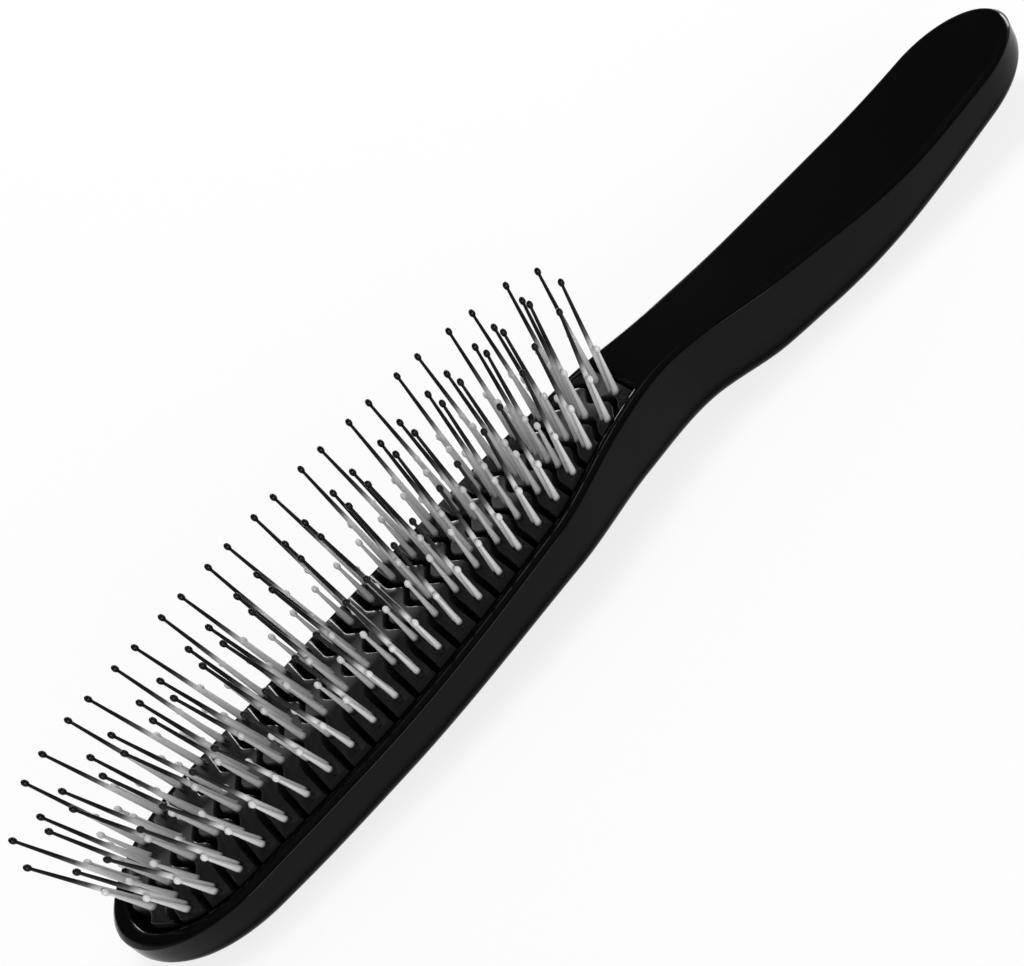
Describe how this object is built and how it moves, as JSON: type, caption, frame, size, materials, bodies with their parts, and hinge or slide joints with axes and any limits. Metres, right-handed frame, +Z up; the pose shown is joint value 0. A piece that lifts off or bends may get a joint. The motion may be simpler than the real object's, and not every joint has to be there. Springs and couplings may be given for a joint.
{
  "type": "scalp brush",
  "caption": "Slim gloss-black hair and scalp brush: moulded handle and head tray holding wavy cross strips of long and short round-tipped pins.",
  "frame": {"origin": "middle of the bounding box in plan, on the surface that the brush's back rests on", "axes": "+X from the head tip to the handle end, +Z up out of the pin side, +Y across"},
  "size_m": [0.2251, 0.0396, 0.0415],
  "materials": {
    "body_gloss": "deep black polished moulding",
    "pin_plastic": "black moulded nylon with a soft shine"
  },
  "bodies": {
    "root": {"brush_body": "body_gloss", "pin_strip_01": "pin_plastic", "pin_strip_02": "pin_plastic", "pin_strip_03": "pin_plastic", "pin_strip_04": "pin_plastic", "pin_strip_05": "pin_plastic", "pin_strip_06": "pin_plastic", "pin_strip_07": "pin_plastic", "pin_strip_08": "pin_plastic", "pin_strip_09": "pin_plastic", "pin_strip_10": "pin_plastic", "pin_strip_11": "pin_plastic", "pin_strip_12": "pin_plastic", "pin_strip_13": "pin_plastic", "pin_strip_14": "pin_plastic", "pin_strip_15": "pin_plastic", "pin_strip_16": "pin_plastic", "pin_strip_17": "pin_plastic", "pin_strip_18": "pin_plastic", "pin_strip_19": "pin_plastic", "pin_strip_20": "pin_plastic", "pin_strip_21": "pin_plastic", "pin_strip_22": "pin_plastic", "pin_strip_23": "pin_plastic"}
  },
  "joints": []
}
